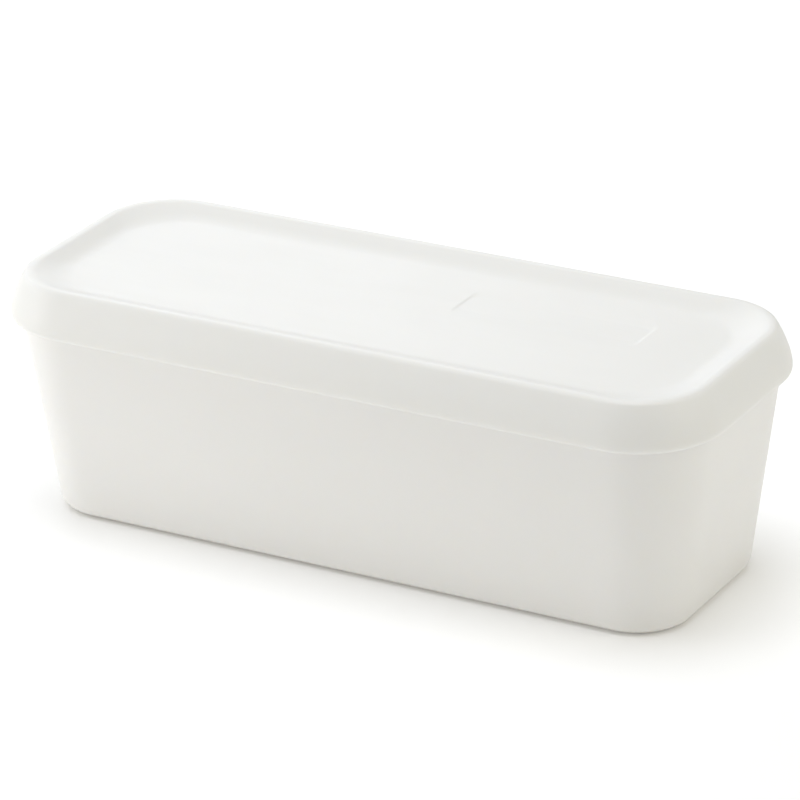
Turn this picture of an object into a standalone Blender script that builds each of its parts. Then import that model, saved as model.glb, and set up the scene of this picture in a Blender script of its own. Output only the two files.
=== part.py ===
"""Long ice cream tub, shut with its cap lid.

Metres, +Z up, the tub stands on z = 0 with its centre over the origin.
X runs along the tub, Y across it. Both pieces are rounded rectangles that
are extruded from level to level, so one section describes a whole piece.
"""

from math import atan2, cos, hypot, pi, radians, sin, tan

import bmesh
import bpy

MM = 0.001

# Whole tub, measured with the lid on
LENGTH = 270.0 * MM          # skirt of the lid, end to end
WIDTH = 107.1 * MM           # skirt of the lid, side to side
HEIGHT = 88.1 * MM           # floor to the top of the lid's rim

# Lid
SKIRT_HEIGHT = 16.1 * MM     # rim down to the skirt's lower edge
FLARE = 5.2 * MM             # how far the skirt swells out below the rim
RIM_CORNER = 25.6 * MM       # corner radius of the rim, seen from above
LID_WALL = 1.6 * MM          # thickness of the lid
LIP_WIDTH = 3.0 * MM         # lip around the top
SLOPE_WIDTH = 7.5 * MM       # sloping band inside the lip
DISH_DEPTH = 3.0 * MM        # lip down to the lid's floor
DISH_CORNER = 24.0 * MM      # corner radius of the lid's floor
RIM_ROUND = 2.0 * MM         # edge between skirt and lip
LIP_ROUND = 5.0 * MM         # edge between lip and slope
DISH_ROUND = 16.0 * MM       # hollow between slope and floor
LOWER_ROUND = 1.2 * MM       # lower edge of the skirt, outside
LOWER_INSIDE = 0.3 * MM      # the same edge, inside
LEAST_ROUND = 0.3 * MM       # smallest edge inside the lid

# Shallow field, pressed into the lid's floor
FIELD_LENGTH = 70.0 * MM
FIELD_WIDTH = 25.0 * MM
FIELD_CORNER = 6.0 * MM
FIELD_DEPTH = 0.25 * MM
FIELD_X = 55.0 * MM
FIELD_Y = 11.5 * MM
FIELD_EDGE = 1.2 * MM        # run of the step at the field's ends
FIELD_RUN = 7.0 * MM         # run of the step along its long sides

# Tub
BASE_LENGTH = 243.7 * MM     # wall lines carried down to the floor
BASE_WIDTH = 80.3 * MM
BASE_CORNER = 19.9 * MM
WALL_OUT = 1.4 * MM          # wall outside the rim line at the skirt's edge
FOOT_ROUND = 5.0 * MM        # rounding from wall to underside
FOOT_RING = 4.5 * MM         # flat ring that the tub stands on
FOOT_CORNER = 2.0 * MM       # least corner radius on the underside
HOLLOW_DEPTH = 0.8 * MM      # underside within the ring, raised
HOLLOW_RUN = 1.0 * MM
FLANGE_RISE = 4.6 * MM       # flange above the skirt's lower edge
GAP = 0.3 * MM               # clearance between tub and lid

# Fineness of the rings and of the rounded edges
CORNER_STEPS = 12
SKIRT_STEPS = 9
EDGE_STEPS = 3

SMOOTH_ANGLE = radians(38.0)


def ring(half_x, half_y, radius, height, centre_x=0.0, centre_y=0.0):
    """Points of one level rounded rectangle, anticlockwise from above."""
    points = []
    for quarter in range(4):
        sign_x = (1, -1, -1, 1)[quarter]
        sign_y = (1, 1, -1, -1)[quarter]
        for step in range(CORNER_STEPS + 1):
            turn = (quarter + step / CORNER_STEPS) * pi / 2
            x = sign_x * (half_x - radius) + radius * cos(turn)
            y = sign_y * (half_y - radius) + radius * sin(turn)
            points.append((centre_x + x, centre_y + y, height))
    return points


def rim_ring(out, down, corner_extra=0.0):
    """Ring at a distance outside the rim line and below the lid's top."""
    half_x = LENGTH / 2 - FLARE + out
    half_y = WIDTH / 2 - FLARE + out
    radius = RIM_CORNER + out + corner_extra
    return ring(half_x, half_y, radius, HEIGHT + down)


def foot_ring(inset, height):
    """Ring set in from the tub's outline on the floor, at any height."""
    return ring(
        BASE_LENGTH / 2 - inset,
        BASE_WIDTH / 2 - inset,
        max(BASE_CORNER - inset, FOOT_CORNER),
        height,
    )


def wall_ring(height):
    """Ring of the tub's sloping wall."""
    share = height / (HEIGHT - SKIRT_HEIGHT)
    base = (BASE_LENGTH / 2, BASE_WIDTH / 2, BASE_CORNER)
    top = (
        LENGTH / 2 - FLARE + WALL_OUT,
        WIDTH / 2 - FLARE + WALL_OUT,
        RIM_CORNER + WALL_OUT,
    )
    half_x, half_y, radius = (
        low + (high - low) * share for low, high in zip(base, top)
    )
    return ring(half_x, half_y, radius, height)


def cap_line():
    """Section of the lid's outside, from the skirt's edge to the floor."""
    line = []
    for step in range(SKIRT_STEPS, 0, -1):
        share = step / SKIRT_STEPS
        line.append((FLARE * sin(share * pi / 2), -SKIRT_HEIGHT * share))
    line.append((0.0, 0.0))
    line.append((-LIP_WIDTH, 0.0))
    line.append((-LIP_WIDTH - SLOPE_WIDTH, -DISH_DEPTH))
    line.append((-LIP_WIDTH - 2.0 * SLOPE_WIDTH, -DISH_DEPTH))
    return line


def moved_in(line, distance):
    """The same section moved to its inner side by an even distance."""
    sides = []
    for (ax, ay), (bx, by) in zip(line, line[1:]):
        length = hypot(bx - ax, by - ay)
        sides.append(((ay - by) / length, (bx - ax) / length))
    result = []
    for index, (x, y) in enumerate(line):
        before = sides[max(index - 1, 0)]
        after = sides[min(index, len(sides) - 1)]
        share = 1.0 + before[0] * after[0] + before[1] * after[1]
        x += distance * (before[0] + after[0]) / share
        y += distance * (before[1] + after[1]) / share
        result.append((x, y))
    return result


def rounded(line, radii):
    """The section with the corners named in radii turned into arcs."""
    result = []
    for index, point in enumerate(line):
        radius = radii.get(index, 0.0)
        if radius <= 0.0:
            result.append(point)
            continue
        before, after = line[index - 1], line[index + 1]
        way_in = atan2(point[1] - before[1], point[0] - before[0])
        way_out = atan2(after[1] - point[1], after[0] - point[0])
        turn = (way_out - way_in + pi) % (2.0 * pi) - pi
        reach = radius * tan(abs(turn) / 2)
        start = (
            point[0] - reach * cos(way_in),
            point[1] - reach * sin(way_in),
        )
        side = 1.0 if turn > 0.0 else -1.0
        centre = (
            start[0] - side * radius * sin(way_in),
            start[1] + side * radius * cos(way_in),
        )
        for step in range(EDGE_STEPS + 1):
            way = way_in + turn * step / EDGE_STEPS
            x = centre[0] + side * radius * sin(way)
            y = centre[1] - side * radius * cos(way)
            result.append((x, y))
    return result


def section(distance):
    """Section of the lid at a depth below its outer face, edges rounded."""
    line = moved_in(cap_line(), distance)
    rim = SKIRT_STEPS
    return rounded(line, {
        rim: max(RIM_ROUND - distance, LEAST_ROUND),
        rim + 1: max(LIP_ROUND - distance, LEAST_ROUND),
        rim + 2: DISH_ROUND + distance,
    })


def dish_rings(line):
    """Rings of a section, with wider corners towards the lid's floor."""
    concentric = RIM_CORNER - LIP_WIDTH - SLOPE_WIDTH
    extra = DISH_CORNER - concentric
    rings = []
    for out, down in line:
        share = (-out - LIP_WIDTH) / SLOPE_WIDTH
        share = min(max(share, 0.0), 1.0)
        rings.append(rim_ring(out, down, extra * share))
    return rings


def lid_rings():
    """All rings of the lid, from the floor's underside to the field."""
    inner = section(LID_WALL)[::-1]
    outer = section(0.0)
    turns = [pi / 2 * step / EDGE_STEPS for step in range(EDGE_STEPS + 1)]
    lower = [
        (
            inner[-1][0] + LOWER_INSIDE * (1.0 - cos(turn)),
            LOWER_INSIDE * (1.0 - sin(turn)) - SKIRT_HEIGHT,
        )
        for turn in turns
    ]
    lower += [
        (
            outer[0][0] - LOWER_ROUND * (1.0 - cos(turn)),
            LOWER_ROUND * (1.0 - sin(turn)) - SKIRT_HEIGHT,
        )
        for turn in turns[::-1]
    ]
    rings = dish_rings(inner[:-1] + lower + outer[1:])
    floor = HEIGHT - DISH_DEPTH
    half_x, half_y = FIELD_LENGTH / 2, FIELD_WIDTH / 2
    rings.append(ring(half_x, half_y, FIELD_CORNER, floor, FIELD_X, FIELD_Y))
    rings.append(ring(
        half_x - FIELD_EDGE,
        half_y - FIELD_RUN,
        FIELD_CORNER - FIELD_EDGE,
        floor - FIELD_DEPTH,
        FIELD_X,
        FIELD_Y,
    ))
    return rings


def tub_rings():
    """All rings of the tub, from the raised underside to the covered top."""
    edge = HEIGHT - SKIRT_HEIGHT
    spread = LENGTH / 2 - FLARE + WALL_OUT - BASE_LENGTH / 2
    slope = atan2(spread, edge)
    rings = [
        foot_ring(FOOT_ROUND + FOOT_RING + HOLLOW_RUN, HOLLOW_DEPTH),
        foot_ring(FOOT_ROUND + FOOT_RING, 0.0),
    ]
    foot_inset = FOOT_ROUND * (1.0 - sin(slope)) / cos(slope)
    steps = 2 * EDGE_STEPS
    for step in range(steps + 1):
        turn = (pi / 2 - slope) * step / steps
        inset = foot_inset - FOOT_ROUND * sin(turn)
        rings.append(foot_ring(inset, FOOT_ROUND * (1.0 - cos(turn))))
    rings.append(wall_ring(edge))
    flange = edge + FLANGE_RISE
    rings.append(wall_ring(flange - WALL_OUT))
    covered = section(LID_WALL + GAP)
    start = next(
        index for index, (_, down) in enumerate(covered)
        if HEIGHT + down > flange
    )
    rings.append(rim_ring(covered[start][0], flange - HEIGHT))
    rings.extend(dish_rings(covered[start:]))
    return rings


def plastic(name, colour, roughness):
    """Material of one piece."""
    material = bpy.data.materials.new(name)
    material.use_nodes = True
    shader = material.node_tree.nodes["Principled BSDF"]
    shader.inputs["Base Color"].default_value = (*colour, 1.0)
    shader.inputs["Roughness"].default_value = roughness
    shader.inputs["IOR"].default_value = 1.49
    material.diffuse_color = (*colour, 1.0)
    return material


def piece(name, rings, material):
    """Object that starts as one face and is extruded from ring to ring."""
    bm = bmesh.new()
    place = bm.verts.layers.int.new("place")
    made = bmesh.ops.create_circle(
        bm, cap_ends=True, segments=len(rings[0]), radius=WIDTH / 2
    )
    for index, vert in enumerate(made["verts"]):
        vert[place] = index
        vert.co = rings[0][index]
    bm.faces.ensure_lookup_table()
    bottom = face = bm.faces[0]
    for points in rings[1:]:
        made = bmesh.ops.extrude_face_region(bm, geom=[face])
        if face is not bottom:
            bmesh.ops.delete(bm, geom=[face], context="FACES_ONLY")
        face = next(
            item for item in made["geom"] if isinstance(item, bmesh.types.BMFace)
        )
        for vert in face.verts:
            vert.co = points[vert[place]]
    bmesh.ops.recalc_face_normals(bm, faces=bm.faces)
    mesh = bpy.data.meshes.new(name)
    bm.to_mesh(mesh)
    bm.free()
    mesh.shade_smooth()
    mesh.set_sharp_from_angle(angle=SMOOTH_ANGLE)
    mesh.materials.append(material)
    obj = bpy.data.objects.new(name, mesh)
    bpy.context.scene.collection.objects.link(obj)
    return obj


for old in list(bpy.data.objects):
    bpy.data.objects.remove(old)

tub_plastic = plastic("tub_plastic", (0.84, 0.83, 0.80), 0.38)
lid_plastic = plastic("lid_plastic", (0.87, 0.865, 0.84), 0.45)

piece("tub_body", tub_rings(), tub_plastic)
piece("lid", lid_rings(), lid_plastic)
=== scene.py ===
"""Looks of a long ice cream tub, shut with its cap lid.

Metres, +Z up, X along the tub. The tub and the lid are each one section that
is swept round a corner, run out to the middle of both sides and mirrored.
"""

from math import atan2, cos, hypot, pi, radians, sin, tan

import bmesh
import bpy
from bpy.props import FloatProperty, FloatVectorProperty, PointerProperty
from mathutils import Matrix, Vector


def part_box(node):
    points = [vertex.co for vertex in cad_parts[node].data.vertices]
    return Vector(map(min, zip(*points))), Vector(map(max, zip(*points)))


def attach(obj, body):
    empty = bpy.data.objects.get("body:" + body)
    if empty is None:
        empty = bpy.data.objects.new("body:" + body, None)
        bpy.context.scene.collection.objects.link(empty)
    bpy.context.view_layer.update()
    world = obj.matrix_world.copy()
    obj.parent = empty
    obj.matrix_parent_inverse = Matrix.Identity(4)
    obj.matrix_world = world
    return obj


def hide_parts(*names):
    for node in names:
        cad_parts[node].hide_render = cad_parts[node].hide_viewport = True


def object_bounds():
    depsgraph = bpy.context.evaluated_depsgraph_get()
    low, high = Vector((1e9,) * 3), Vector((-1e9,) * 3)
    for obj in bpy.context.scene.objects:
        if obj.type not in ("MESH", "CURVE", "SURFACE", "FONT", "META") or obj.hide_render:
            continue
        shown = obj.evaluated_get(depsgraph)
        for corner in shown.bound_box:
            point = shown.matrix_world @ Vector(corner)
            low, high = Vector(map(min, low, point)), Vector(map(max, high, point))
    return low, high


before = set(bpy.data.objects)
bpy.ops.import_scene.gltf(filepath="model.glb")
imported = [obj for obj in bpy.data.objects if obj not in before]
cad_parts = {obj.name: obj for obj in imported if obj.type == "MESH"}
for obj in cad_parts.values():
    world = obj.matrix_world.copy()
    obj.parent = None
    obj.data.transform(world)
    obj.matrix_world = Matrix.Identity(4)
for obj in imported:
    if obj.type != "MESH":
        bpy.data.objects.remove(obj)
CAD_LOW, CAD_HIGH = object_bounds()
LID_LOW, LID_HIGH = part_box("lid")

bl_info = {
    "name": "Ice cream tub",
    "version": (1, 0, 0),
    "blender": (4, 5, 0),
    "location": "3D View > Sidebar > Tub",
    "description": "Builds a long plastic tub with its cap lid, and a studio for it",
    "category": "Add Mesh",
}

MM = 0.001

# Whole tub, from the frame
HALF_LENGTH = (CAD_HIGH.x - CAD_LOW.x) / 2
HALF_WIDTH = (CAD_HIGH.y - CAD_LOW.y) / 2
HEIGHT = CAD_HIGH.z

# Softboxes: name, azimuth and elevation in degrees, distance, width and height
# in metres, power in watts, colour
SOFTBOXES = (
    ("top", 0.0, 88.0, 2.0, 1.3, 1.3, 21.4, (0.91, 0.938, 1.0)),
    ("right", 90.0, 35.0, 2.0, 1.3, 1.3, 6.5, (1.0, 0.95, 0.76)),
    ("back_right", 135.0, 35.0, 2.0, 1.3, 1.3, 1.6, (0.97, 1.0, 1.0)),
    ("back_left", 225.0, 24.0, 2.0, 1.3, 1.0, 7.8, (0.90, 0.93, 1.0)),
    ("left", 270.0, 20.0, 2.0, 1.3, 0.9, 6.7, (0.94, 0.97, 1.0)),
    ("front_left", 315.0, 35.0, 2.0, 1.3, 1.3, 2.2, (1.0, 0.98, 0.92)),
    ("near_left", 305.0, 6.0, 0.75, 0.5, 0.3, 1.18, (0.99, 0.98, 0.965)),
)

# Roundings of the lid's section
RIM_ROUND = 2.0 * MM         # edge between skirt and lip
LIP_ROUND = 5.0 * MM         # edge between lip and slope
DISH_ROUND = 16.0 * MM       # hollow between slope and floor
LEAST_ROUND = 0.3 * MM       # smallest edge inside the lid
LOWER_INSIDE = 0.3 * MM      # lower edge of the skirt, inside
LOWER_ROUND = 1.2 * MM       # the same edge outside, across
LOWER_RISE = 2.2 * MM        # and its height

# Edges of the field in the lid's floor
FIELD_CORNER = 7.0 * MM
FIELD_MARGIN = 1.0 * MM      # flat rings that keep the shading even
FIELD_EDGE = 0.8 * MM        # run of the step at the field's ends
FIELD_ROUND = 0.35 * MM
FIELD_ROUND_STEPS = 3

# Small parts of the tub
HOLLOW_DEPTH = 0.8 * MM      # underside within the foot ring, raised
HOLLOW_RUN = 1.0 * MM
HOLLOW_MARGIN = 2.0 * MM     # flat ring that keeps the shading even
FLANGE_RISE = 4.6 * MM       # flange above the skirt's lower edge
GAP = 0.3 * MM               # clearance between tub and lid

# Plastic
REFRACTION = 1.49
GLOW_DEPTH = 3.0 * MM        # how deep light wanders in the plastic
GLOW_COLOUR = (1.0, 0.85, 0.65)
CLOUD_SCALE = 26.0
CLOUD_LOW, CLOUD_HIGH = 0.985, 1.012
# Painted contact shadow: a dark brown mixed into the colour near the floor, at its full
# share below the low height and gone above the high one
CONTACT_SHADOW_COLOUR = (0.33, 0.29, 0.21, 1.0)
CONTACT_SHADOW_LOW, CONTACT_SHADOW_HIGH = 0.5 * MM, 1.9 * MM
CONTACT_SHADOW_SHARE = 0.55
SCUFF_TURN = (0.4, 0.7, 0.3)
SCUFF_SCALE = (30.0, 400.0, 400.0)
SCUFF_SMOOTHER, SCUFF_ROUGHER = 0.04, 0.08
GRAIN_SCALE = 1500.0
GRAIN_DEPTH = 0.02 * MM
WAVE_SCALE = 18.0            # faint waves in the walls
WHITE = (1.0, 1.0, 1.0, 1.0)

# Studio
FLOOR_REACH = 4.0
FLOOR_COLOUR = (0.95, 0.95, 0.945, 1.0)
FLOOR_ROUGHNESS = 0.9
FLOOR_SHINE = 0.2
ROOM_COLOUR = (1.0, 0.975, 0.92, 1.0)
CLIP_NEAR, CLIP_FAR = 0.05, 30.0

# Fineness of the swept pieces
CORNER_STEPS = 20
LONG_STEPS = 24
SHORT_STEPS = 8
SKIRT_STEPS = 18
WALL_STEPS = 24
EDGE_STEPS = 5
FIELD_STEPS = 8
MERGE = 0.02 * MM
SMOOTH_ANGLE = radians(40.0)


class LidSettings(bpy.types.PropertyGroup):
    """Sizes and colour of the lid."""

    skirt_height: FloatProperty(
        name="Skirt height", description="Top of the lid down to the skirt's edge",
        default=LID_HIGH.z - LID_LOW.z, unit="LENGTH",
    )
    flare: FloatProperty(
        name="Flare", description="How far the skirt swells out below the rim",
        default=5.2 * MM, unit="LENGTH",
    )
    rim_corner: FloatProperty(
        name="Rim corner", description="Corner radius of the rim",
        default=25.6 * MM, unit="LENGTH",
    )
    wall: FloatProperty(
        name="Wall", description="Thickness of the lid",
        default=1.6 * MM, unit="LENGTH",
    )
    lip_width: FloatProperty(
        name="Lip width", description="Lip around the top",
        default=3.0 * MM, unit="LENGTH",
    )
    slope_width: FloatProperty(
        name="Slope width", description="Sloping band inside the lip",
        default=7.5 * MM, unit="LENGTH",
    )
    dish_depth: FloatProperty(
        name="Dish depth", description="Lip down to the lid's floor",
        default=3.0 * MM, unit="LENGTH",
    )
    dish_corner: FloatProperty(
        name="Dish corner", description="Corner radius of the lid's floor",
        default=24.0 * MM, unit="LENGTH",
    )
    field_length: FloatProperty(
        name="Field length",
        description="Shallow field in the lid's floor, along the tub",
        default=70.0 * MM, unit="LENGTH",
    )
    field_width: FloatProperty(
        name="Field width",
        description="Shallow field in the lid's floor, across the tub",
        default=25.0 * MM, unit="LENGTH",
    )
    field_depth: FloatProperty(
        name="Field depth", description="How deep the field is pressed in",
        default=0.25 * MM, unit="LENGTH",
    )
    field_run: FloatProperty(
        name="Field run", description="How softly the field's long sides run out",
        default=6.0 * MM, unit="LENGTH",
    )
    field_place: FloatVectorProperty(
        name="Field place", description="Centre of the field, seen from above",
        default=(55.0 * MM, 11.5 * MM), size=2, unit="LENGTH",
    )
    colour: FloatVectorProperty(
        name="Colour", description="Base colour of the lid",
        default=(0.863, 0.857, 0.825), size=3, subtype="COLOR",
    )


class BodySettings(bpy.types.PropertyGroup):
    """Sizes and colour of the tub."""

    base_length: FloatProperty(
        name="Base length", description="Walls carried down to the floor, end to end",
        default=243.7 * MM, unit="LENGTH",
    )
    base_width: FloatProperty(
        name="Base width", description="Walls carried down to the floor, side to side",
        default=80.3 * MM, unit="LENGTH",
    )
    base_corner: FloatProperty(
        name="Base corner", description="Corner radius of the walls at the floor",
        default=19.9 * MM, unit="LENGTH",
    )
    wall_out: FloatProperty(
        name="Wall out", description="Wall outside the rim line, at the skirt's edge",
        default=1.4 * MM, unit="LENGTH",
    )
    foot_round: FloatProperty(
        name="Foot rounding", description="Rounding between wall and underside",
        default=5.0 * MM, unit="LENGTH",
    )
    foot_ring: FloatProperty(
        name="Foot ring", description="Flat ring inside the foot rounding's radius",
        default=4.5 * MM, unit="LENGTH",
    )
    colour: FloatVectorProperty(
        name="Colour", description="Base colour of the tub",
        default=(0.866, 0.858, 0.832), size=3, subtype="COLOR",
    )


class StageSettings(bpy.types.PropertyGroup):
    """Camera and light of the studio."""

    azimuth: FloatProperty(
        name="Azimuth", description="Camera's turn round the tub, from the front",
        default=radians(29.787), unit="ROTATION",
    )
    elevation: FloatProperty(
        name="Elevation", description="Camera's height angle above the floor",
        default=radians(23.457), unit="ROTATION",
    )
    roll: FloatProperty(
        name="Roll", description="Camera's turn about its own line of sight",
        default=radians(-1.498), unit="ROTATION",
    )
    distance: FloatProperty(
        name="Distance", description="Camera to the point that it aims at",
        default=1.6374, unit="LENGTH",
    )
    aim_right: FloatProperty(
        name="Aim right", description="Aim point right of the origin, in the picture",
        default=-0.08 * MM, unit="LENGTH",
    )
    aim_up: FloatProperty(
        name="Aim up", description="Aim point above the origin, in the picture",
        default=45.21 * MM, unit="LENGTH",
    )
    lens: FloatProperty(
        name="Lens", description="Focal length on a 36 mm sensor",
        default=212.69, unit="CAMERA",
    )
    light_power: FloatProperty(
        name="Light power", description="Share of the softboxes' own power",
        default=1.0,
    )
    room_light: FloatProperty(
        name="Room light", description="Strength of the light from all round",
        default=0.3,
    )
    floor_glow: FloatProperty(
        name="Floor glow", description="Light that the white floor gives by itself",
        default=0.13,
    )


def moved_in(line, distance):
    """A section moved to its inner side by an even distance."""
    sides = []
    for (ax, ay), (bx, by) in zip(line, line[1:]):
        length = hypot(bx - ax, by - ay)
        sides.append(((ay - by) / length, (bx - ax) / length))
    result = []
    for index, (x, y) in enumerate(line):
        before = sides[max(index - 1, 0)]
        after = sides[min(index, len(sides) - 1)]
        share = 1.0 + before[0] * after[0] + before[1] * after[1]
        x += distance * (before[0] + after[0]) / share
        y += distance * (before[1] + after[1]) / share
        result.append((x, y))
    return result


def rounded(line, radii):
    """A section with the corners named in radii turned into arcs."""
    result = []
    for index, point in enumerate(line):
        radius = radii.get(index, 0.0)
        if radius <= 0.0:
            result.append(point)
            continue
        before, after = line[index - 1], line[index + 1]
        way_in = atan2(point[1] - before[1], point[0] - before[0])
        way_out = atan2(after[1] - point[1], after[0] - point[0])
        turn = (way_out - way_in + pi) % (2.0 * pi) - pi
        reach = radius * tan(abs(turn) / 2)
        side = 1.0 if turn > 0.0 else -1.0
        centre_x = point[0] - reach * cos(way_in) - side * radius * sin(way_in)
        centre_y = point[1] - reach * sin(way_in) + side * radius * cos(way_in)
        for step in range(EDGE_STEPS + 1):
            way = way_in + turn * step / EDGE_STEPS
            result.append((
                centre_x + side * radius * sin(way),
                centre_y - side * radius * cos(way),
            ))
    return result


def run_out(bm, edges, way, steps):
    """Edges extruded along a straight side in even steps."""
    for _ in range(steps):
        made = bmesh.ops.extrude_edge_only(bm, edges=edges)["geom"]
        verts = [item for item in made if isinstance(item, bmesh.types.BMVert)]
        edges = [item for item in made if isinstance(item, bmesh.types.BMEdge)]
        bmesh.ops.translate(bm, vec=way / steps, verts=verts)


def sweep_quarter(bm, section, centre):
    """Section swept round one corner and out to the middle of both sides.

    The section's points are (distance from the corner's centre, height).
    """
    verts = [bm.verts.new((centre.x + out, centre.y, up)) for out, up in section]
    edges = [bm.edges.new(pair) for pair in zip(verts, verts[1:])]
    spun = bmesh.ops.spin(
        bm, geom=verts + edges, cent=centre, axis=(0, 0, 1), dvec=(0, 0, 0),
        angle=pi / 2, steps=CORNER_STEPS, use_merge=False, use_duplicate=False,
    )
    last = [item for item in spun["geom_last"] if isinstance(item, bmesh.types.BMEdge)]
    run_out(bm, edges, Vector((0, -centre.y, 0)), SHORT_STEPS)
    run_out(bm, last, Vector((-centre.x, 0, 0)), LONG_STEPS)


def mirror_twice(bm):
    """The quarter mirrored to the whole, with its seams merged."""
    for axis in ("X", "Y"):
        bmesh.ops.mirror(
            bm, geom=bm.verts[:] + bm.edges[:] + bm.faces[:],
            matrix=Matrix(), merge_dist=MERGE, axis=axis,
        )
    bmesh.ops.remove_doubles(bm, verts=bm.verts, dist=MERGE)


def loop_at(bm, height):
    """Open boundary edges that lie at one height."""
    return [
        edge for edge in bm.edges
        if edge.is_boundary
        and all(abs(vert.co.z - height) < MERGE for vert in edge.verts)
    ]


def widen(vert, centre, extra):
    """Moves a vertex as if its ring had a corner radius that is larger."""
    x, y = vert.co.x - centre.x, vert.co.y - centre.y
    if x > 0.0 and y > 0.0:
        turn = atan2(y, x)
        vert.co.x -= extra * (1.0 - cos(turn))
        vert.co.y -= extra * (1.0 - sin(turn))
    elif x > 0.0:
        vert.co.y *= (centre.y - extra) / centre.y
    else:
        vert.co.x *= (centre.x - extra) / centre.x


def ring_distance(vert, centre):
    """How far out from the corner's centre a vertex's ring lies."""
    x, y = vert.co.x - centre.x, vert.co.y - centre.y
    if x > 0.0 and y > 0.0:
        return hypot(x, y)
    return max(x, y)


def corner_centre(lid):
    """Centre of the rim's corner, seen from above."""
    inset = lid.flare + lid.rim_corner
    return Vector((HALF_LENGTH - inset, HALF_WIDTH - inset, 0))


def widen_dish(vert, centre, lid):
    """Widens a vertex's ring by as much as it lies down the lid's slope."""
    slope_start = lid.rim_corner - lid.lip_width
    slope_end = slope_start - lid.slope_width
    share = (slope_start - ring_distance(vert, centre)) / lid.slope_width
    share = min(max(share, 0.0), 1.0)
    widen(vert, centre, share * (lid.dish_corner - slope_end))


def finish_piece(name, bm, material, node):
    """Object from a mesh, in place of a CAD node and riding on the tub."""
    bmesh.ops.recalc_face_normals(bm, faces=bm.faces)
    if any(edge.is_boundary for edge in bm.edges):
        raise RuntimeError(f"{name} isn't closed")
    mesh = bpy.data.meshes.new(name)
    bm.to_mesh(mesh)
    bm.free()
    mesh.shade_smooth()
    mesh.set_sharp_from_angle(angle=SMOOTH_ANGLE)
    mesh.materials.append(material)
    obj = bpy.data.objects.new(name, mesh)
    bpy.context.scene.collection.objects.link(obj)
    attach(obj, "root")
    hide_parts(node)


def cap_line(lid):
    """Outside of the lid's section, from the skirt's edge to the floor.

    The skirt's last step is left out, so that the rim's rounding has room.
    """
    line = []
    for step in range(SKIRT_STEPS, 1, -1):
        share = step / SKIRT_STEPS
        line.append((lid.flare * sin(share * pi / 2), -lid.skirt_height * share))
    line.append((0.0, 0.0))
    line.append((-lid.lip_width, 0.0))
    line.append((-lid.lip_width - lid.slope_width, -lid.dish_depth))
    line.append((-lid.lip_width - 2.0 * lid.slope_width, -lid.dish_depth))
    return line


def cap_section(lid, depth):
    """Section of the lid at a depth below its outer face, edges rounded."""
    line = moved_in(cap_line(lid), depth)
    rim = SKIRT_STEPS - 1
    return rounded(line, {
        rim: max(RIM_ROUND - depth, LEAST_ROUND),
        rim + 1: max(LIP_ROUND - depth, LEAST_ROUND),
        rim + 2: DISH_ROUND + depth,
    })


def skirt_edge(lid, inner_out):
    """Rounded lower edge of the skirt, from its inside to its outside."""
    turns = [pi / 2 * step / EDGE_STEPS for step in range(EDGE_STEPS + 1)]
    line = [
        (inner_out + LOWER_INSIDE * (1.0 - cos(turn)), LOWER_INSIDE * (1.0 - sin(turn)))
        for turn in turns
    ]
    for turn in turns[::-1]:
        up = LOWER_RISE * (1.0 - sin(turn))
        swell = lid.flare * cos(up / lid.skirt_height * pi / 2)
        line.append((swell - LOWER_ROUND * (1.0 - cos(turn)), up))
    return [(out, up - lid.skirt_height) for out, up in line]


def lid_section(lid):
    """Section round the lid's wall, from the floor's underside to its top.

    The swell is scaled so that its widest point reaches the frame's box.
    """
    inner = cap_section(lid, lid.wall)[::-1]
    upper = [
        (out, up) for out, up in cap_section(lid, 0.0)
        if up + lid.skirt_height > LOWER_RISE
    ]
    line = skirt_edge(lid, inner[-1][0]) + upper
    wider = lid.flare / max(out for out, _ in line)
    line = [(out * wider if out > 0.0 else out, up) for out, up in line]
    return [(lid.rim_corner + out, HEIGHT + up) for out, up in inner[:-1] + line]


def press_field(bm, lid):
    """Fills the lid's floor, with the shallow field pressed into it."""
    floor = HEIGHT - lid.dish_depth
    around = loop_at(bm, floor)
    made = bmesh.ops.create_grid(bm, x_segments=1, y_segments=1, size=0.5)
    size = (
        lid.field_length + 2.0 * FIELD_MARGIN,
        lid.field_width + 2.0 * FIELD_MARGIN,
        1.0,
    )
    bmesh.ops.scale(bm, vec=size, verts=made["verts"])
    bmesh.ops.translate(bm, vec=(*lid.field_place, floor), verts=made["verts"])
    bmesh.ops.bevel(
        bm, geom=made["verts"], affect="VERTICES", offset=FIELD_CORNER,
        segments=FIELD_STEPS, profile=0.5, material=-1,
    )
    face = next(
        item for item in bm.faces
        if all(edge.is_boundary for edge in item.edges)
    )
    bmesh.ops.triangle_fill(bm, use_beauty=True, edges=around + list(face.edges))
    rims = []
    for width, depth in (
        (FIELD_MARGIN, 0.0), (FIELD_EDGE, lid.field_depth), (FIELD_MARGIN, 0.0),
    ):
        bmesh.ops.inset_region(
            bm, faces=[face], thickness=width, depth=-depth,
            use_even_offset=True, use_boundary=True,
        )
        rims.append(list(face.edges))
    inner = {vert for rim in rims[1:] for edge in rim for vert in edge.verts}
    centre = Matrix.Translation((0.0, -lid.field_place[1], 0.0))
    wide = lid.field_width - 2.0 * FIELD_EDGE
    narrow = lid.field_width - 2.0 * lid.field_run
    bmesh.ops.scale(
        bm, vec=(1.0, narrow / wide, 1.0), space=centre, verts=list(inner)
    )
    bmesh.ops.bevel(
        bm, geom=rims[0] + rims[1], affect="EDGES", offset=FIELD_ROUND,
        segments=FIELD_ROUND_STEPS, profile=0.5, material=-1,
    )


def add_node(tree, kind, values=None, links=None, **settings):
    """Shader node with settings, values of its inputs and links into it."""
    node = tree.nodes.new(kind)
    for name, value in settings.items():
        setattr(node, name, value)
    for name, value in (values or {}).items():
        node.inputs[name].default_value = value
    for name, socket in (links or {}).items():
        tree.links.new(socket, node.inputs[name])
    return node


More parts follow.
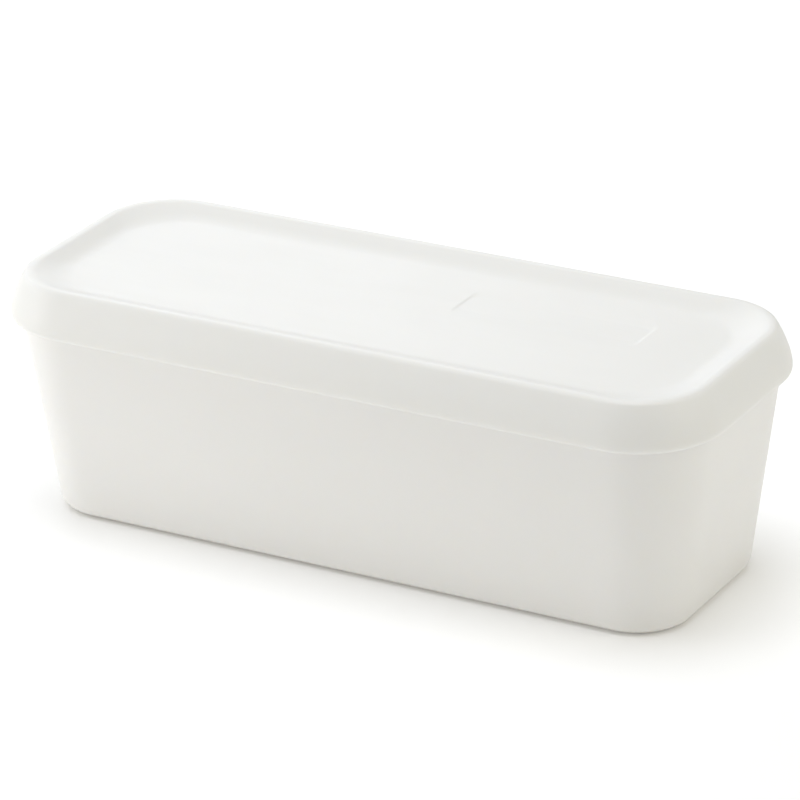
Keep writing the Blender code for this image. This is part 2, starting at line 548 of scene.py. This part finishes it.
def base_colour(tree, place, colour):
    """Cloudy colour, with painted contact shadow along the foot's lowest edge."""
    cloud = add_node(
        tree, "ShaderNodeTexNoise",
        {"Scale": CLOUD_SCALE, "Detail": 4.0}, {"Vector": place},
    )
    tint = add_node(
        tree, "ShaderNodeMix",
        {
            "A": (*(CLOUD_LOW * part for part in colour), 1.0),
            "B": (*(min(CLOUD_HIGH * part, 1.0) for part in colour), 1.0),
        },
        {"Factor": cloud.outputs["Fac"]},
        data_type="RGBA",
    )
    # Painted contact shadow: the colour turns dark brown towards the floor along the
    # foot's lowest edge
    height = add_node(tree, "ShaderNodeSeparateXYZ", links={"Vector": place})
    foot = add_node(
        tree, "ShaderNodeMapRange",
        {
            "From Min": CONTACT_SHADOW_LOW, "From Max": CONTACT_SHADOW_HIGH,
            "To Min": CONTACT_SHADOW_SHARE, "To Max": 0.0,
        },
        {"Value": height.outputs["Z"]},
        interpolation_type="SMOOTHSTEP",
    )
    foot_shadowed = add_node(
        tree, "ShaderNodeMix",
        {"B": CONTACT_SHADOW_COLOUR},
        {"Factor": foot.outputs["Result"], "A": tint.outputs["Result"]},
        data_type="RGBA",
    )
    return foot_shadowed.outputs["Result"]


def dullness(tree, place, roughness):
    """Roughness with faint scuffs, drawn out along one slanting way."""
    way = add_node(
        tree, "ShaderNodeMapping",
        {"Rotation": SCUFF_TURN, "Scale": SCUFF_SCALE},
        {"Vector": place},
    )
    scuff = add_node(
        tree, "ShaderNodeTexNoise",
        {"Scale": 1.0, "Detail": 3.0}, {"Vector": way.outputs["Vector"]},
    )
    dull = add_node(
        tree, "ShaderNodeMapRange",
        {
            "From Min": 0.35, "From Max": 0.75,
            "To Min": roughness - SCUFF_SMOOTHER,
            "To Max": roughness + SCUFF_ROUGHER,
        },
        {"Value": scuff.outputs["Fac"]},
    )
    return dull.outputs["Result"]


def relief(tree, place, unevenness):
    """Fine grain of the mould on faintly uneven walls."""
    grain = add_node(
        tree, "ShaderNodeTexNoise",
        {"Scale": GRAIN_SCALE, "Detail": 2.0}, {"Vector": place},
    )
    waves = add_node(
        tree, "ShaderNodeTexNoise",
        {"Scale": WAVE_SCALE, "Detail": 1.0}, {"Vector": place},
    )
    fine = add_node(
        tree, "ShaderNodeBump",
        {"Strength": 0.25, "Distance": GRAIN_DEPTH}, {"Height": grain.outputs["Fac"]},
    )
    uneven = add_node(
        tree, "ShaderNodeBump",
        {"Strength": 1.0, "Distance": unevenness},
        {"Height": waves.outputs["Fac"], "Normal": fine.outputs["Normal"]},
    )
    return uneven.outputs["Normal"]


def plastic(name, colour, roughness, glow, unevenness):
    """Milky moulded plastic: cloudy colour, fine grain, faint scuffs."""
    material = bpy.data.materials.new(name)
    material.use_nodes = True
    tree = material.node_tree
    shader = tree.nodes["Principled BSDF"]
    shader.inputs["IOR"].default_value = REFRACTION
    shader.inputs["Subsurface Weight"].default_value = glow
    shader.inputs["Subsurface Radius"].default_value = GLOW_COLOUR
    shader.inputs["Subsurface Scale"].default_value = GLOW_DEPTH
    place = tree.nodes.new("ShaderNodeTexCoord").outputs["Object"]
    for socket, source in (
        ("Base Color", base_colour(tree, place, colour)),
        ("Roughness", dullness(tree, place, roughness)),
        ("Normal", relief(tree, place, unevenness)),
    ):
        tree.links.new(source, shader.inputs[socket])
    return material


class TUB_OT_lid(bpy.types.Operator):
    """Builds the cap lid with its dished top"""

    bl_idname = "tub.build_lid"
    bl_label = "Lid"

    def execute(self, context):
        lid = context.scene.tub_lid
        centre = corner_centre(lid)
        bm = bmesh.new()
        sweep_quarter(bm, lid_section(lid), centre)
        for vert in bm.verts:
            widen_dish(vert, centre, lid)
        mirror_twice(bm)
        underside = HEIGHT - lid.dish_depth - lid.wall
        bmesh.ops.contextual_create(bm, geom=loop_at(bm, underside))
        press_field(bm, lid)
        material = plastic(
            "milky_lid_plastic", lid.colour,
            roughness=0.42, glow=0.15, unevenness=0.1 * MM,
        )
        finish_piece("lid_cap", bm, material, "lid")
        return {"FINISHED"}


def body_section(lid, body):
    """Section of the tub, from the raised underside to the covered top."""
    edge = HEIGHT - lid.skirt_height
    top_corner = lid.rim_corner + body.wall_out
    spread = top_corner - body.base_corner
    slope = atan2(spread, edge)
    hollow = body.base_corner - body.foot_round - body.foot_ring
    line = [
        (hollow - HOLLOW_RUN - HOLLOW_MARGIN, HOLLOW_DEPTH),
        (hollow - HOLLOW_RUN, HOLLOW_DEPTH),
        (hollow, 0.0),
    ]
    inset = body.foot_round * (1.0 - sin(slope)) / cos(slope)
    foot_steps = 2 * EDGE_STEPS
    for step in range(foot_steps + 1):
        turn = (pi / 2 - slope) * step / foot_steps
        line.append((
            body.base_corner - inset + body.foot_round * sin(turn),
            body.foot_round * (1.0 - cos(turn)),
        ))
    wall_start = line[-1]
    flange = edge + FLANGE_RISE
    wall_top = flange - body.wall_out
    for step in range(1, WALL_STEPS + 1):
        up = wall_start[1] + (wall_top - wall_start[1]) * step / WALL_STEPS
        line.append((body.base_corner + spread * up / edge, up))
    covered = [
        (lid.rim_corner + out, HEIGHT + up)
        for out, up in cap_section(lid, lid.wall + GAP)
        if HEIGHT + up > flange
    ]
    line.append((covered[0][0], flange))
    return line + covered


class TUB_OT_body(bpy.types.Operator):
    """Builds the tapered tub under the lid"""

    bl_idname = "tub.build_body"
    bl_label = "Tub"

    def execute(self, context):
        lid = context.scene.tub_lid
        body = context.scene.tub_body
        centre = corner_centre(lid)
        base_x = body.base_length / 2 - body.base_corner
        base_y = body.base_width / 2 - body.base_corner
        edge = HEIGHT - lid.skirt_height
        bm = bmesh.new()
        section = body_section(lid, body)
        sweep_quarter(bm, section, centre)
        for vert in bm.verts:
            if vert.co.z > edge + body.wall_out:
                widen_dish(vert, centre, lid)
                continue
            low = 1.0 - vert.co.z / edge
            along = min(vert.co.x / centre.x, 1.0)
            across = min(vert.co.y / centre.y, 1.0)
            vert.co.x += (base_x - centre.x) * low * along
            vert.co.y += (base_y - centre.y) * low * across
        mirror_twice(bm)
        bmesh.ops.contextual_create(bm, geom=loop_at(bm, section[0][1]))
        bmesh.ops.contextual_create(bm, geom=loop_at(bm, section[-1][1]))
        material = plastic(
            "milky_tub_plastic", body.colour,
            roughness=0.36, glow=0.2, unevenness=0.3 * MM,
        )
        finish_piece("tub_wall", bm, material, "tub_body")
        return {"FINISHED"}


def way_to(azimuth, elevation):
    """Direction from the tub at an azimuth from the front and an elevation."""
    return Vector((
        sin(azimuth) * cos(elevation),
        -cos(azimuth) * cos(elevation),
        sin(elevation),
    ))


def softbox(name, azimuth, elevation, distance, width, height, power, colour):
    """Rectangular area light, turned to the middle of the tub."""
    data = bpy.data.lights.new(name, "AREA")
    data.shape = "RECTANGLE"
    data.size = width
    data.size_y = height
    data.energy = power
    data.color = colour
    way = way_to(radians(azimuth), radians(elevation))
    light = bpy.data.objects.new(name, data)
    light.location = Vector((0, 0, HEIGHT / 2)) + way * distance
    light.rotation_euler = way.to_track_quat("Z", "Y").to_euler()
    light.visible_camera = False
    bpy.context.scene.collection.objects.link(light)


def studio_world(strength):
    """Even room light, with a white wall where the camera looks past the floor."""
    world = bpy.data.worlds.new("white_room")
    world.use_nodes = True
    tree = world.node_tree
    light = tree.nodes["Background"]
    light.inputs["Strength"].default_value = strength
    light.inputs["Color"].default_value = ROOM_COLOUR
    wall = tree.nodes.new("ShaderNodeBackground")
    wall.inputs["Color"].default_value = WHITE
    seen = tree.nodes.new("ShaderNodeLightPath").outputs["Is Camera Ray"]
    either = tree.nodes.new("ShaderNodeMixShader")
    tree.links.new(seen, either.inputs["Fac"])
    tree.links.new(light.outputs["Background"], either.inputs[1])
    tree.links.new(wall.outputs["Background"], either.inputs[2])
    output = tree.nodes["World Output"]
    tree.links.new(either.outputs["Shader"], output.inputs["Surface"])
    bpy.context.scene.world = world


def studio_floor(glow):
    """Wide white floor that gives a little light by itself."""
    bm = bmesh.new()
    bmesh.ops.create_grid(bm, x_segments=1, y_segments=1, size=FLOOR_REACH)
    mesh = bpy.data.meshes.new("floor")
    bm.to_mesh(mesh)
    bm.free()
    floor = bpy.data.objects.new("floor", mesh)
    bpy.context.scene.collection.objects.link(floor)
    white = bpy.data.materials.new("white_floor")
    white.use_nodes = True
    shader = white.node_tree.nodes["Principled BSDF"]
    shader.inputs["Base Color"].default_value = FLOOR_COLOUR
    shader.inputs["Roughness"].default_value = FLOOR_ROUGHNESS
    shader.inputs["Specular IOR Level"].default_value = FLOOR_SHINE
    shader.inputs["Emission Color"].default_value = WHITE
    shader.inputs["Emission Strength"].default_value = glow
    mesh.materials.append(white)


def studio_camera(stage):
    """Camera at the stage's place, turned to its aim point and rolled."""
    back = way_to(stage.azimuth, stage.elevation)
    level_right = (-back).cross(Vector((0, 0, 1))).normalized()
    level_up = level_right.cross(-back)
    right = cos(stage.roll) * level_right + sin(stage.roll) * level_up
    up = cos(stage.roll) * level_up - sin(stage.roll) * level_right
    eye = right * stage.aim_right + up * stage.aim_up + back * stage.distance
    data = bpy.data.cameras.new("camera")
    data.lens = stage.lens
    data.clip_start = CLIP_NEAR
    data.clip_end = CLIP_FAR
    camera = bpy.data.objects.new("camera", data)
    axes = Matrix((right, up, back)).transposed().to_4x4()
    camera.matrix_world = Matrix.Translation(eye) @ axes
    bpy.context.scene.collection.objects.link(camera)
    bpy.context.scene.camera = camera


class TUB_OT_stage(bpy.types.Operator):
    """Builds the pale floor, the light and the camera"""

    bl_idname = "tub.build_stage"
    bl_label = "Studio"

    def execute(self, context):
        stage = context.scene.tub_stage
        studio_floor(stage.floor_glow)
        for *place, power, colour in SOFTBOXES:
            softbox(*place, power * stage.light_power, colour)
        studio_world(stage.room_light)
        studio_camera(stage)
        context.scene.view_settings.view_transform = "Standard"
        return {"FINISHED"}


class TUB_PT_panel(bpy.types.Panel):
    """Lists the tub's pieces and their sizes"""

    bl_idname = "TUB_PT_panel"
    bl_label = "Ice cream tub"
    bl_space_type = "VIEW_3D"
    bl_region_type = "UI"
    bl_category = "Tub"

    def draw(self, context):
        layout = self.layout
        for group, operator in (
            ("tub_body", TUB_OT_body),
            ("tub_lid", TUB_OT_lid),
            ("tub_stage", TUB_OT_stage),
        ):
            settings = getattr(context.scene, group)
            box = layout.box()
            box.operator(operator.bl_idname)
            for name in settings.__annotations__:
                box.prop(settings, name)


CLASSES = (
    LidSettings, BodySettings, StageSettings,
    TUB_OT_body, TUB_OT_lid, TUB_OT_stage, TUB_PT_panel,
)


def register():
    """Makes the settings, operators and panel known."""
    for cls in CLASSES:
        bpy.utils.register_class(cls)
    bpy.types.Scene.tub_lid = PointerProperty(type=LidSettings)
    bpy.types.Scene.tub_body = PointerProperty(type=BodySettings)
    bpy.types.Scene.tub_stage = PointerProperty(type=StageSettings)


def unregister():
    """Takes them away again."""
    del bpy.types.Scene.tub_stage
    del bpy.types.Scene.tub_body
    del bpy.types.Scene.tub_lid
    for cls in reversed(CLASSES):
        bpy.utils.unregister_class(cls)


def main():
    """Builds everything."""
    register()
    bpy.ops.tub.build_body()
    bpy.ops.tub.build_lid()
    bpy.ops.tub.build_stage()


if __name__ == "__main__":
    main()
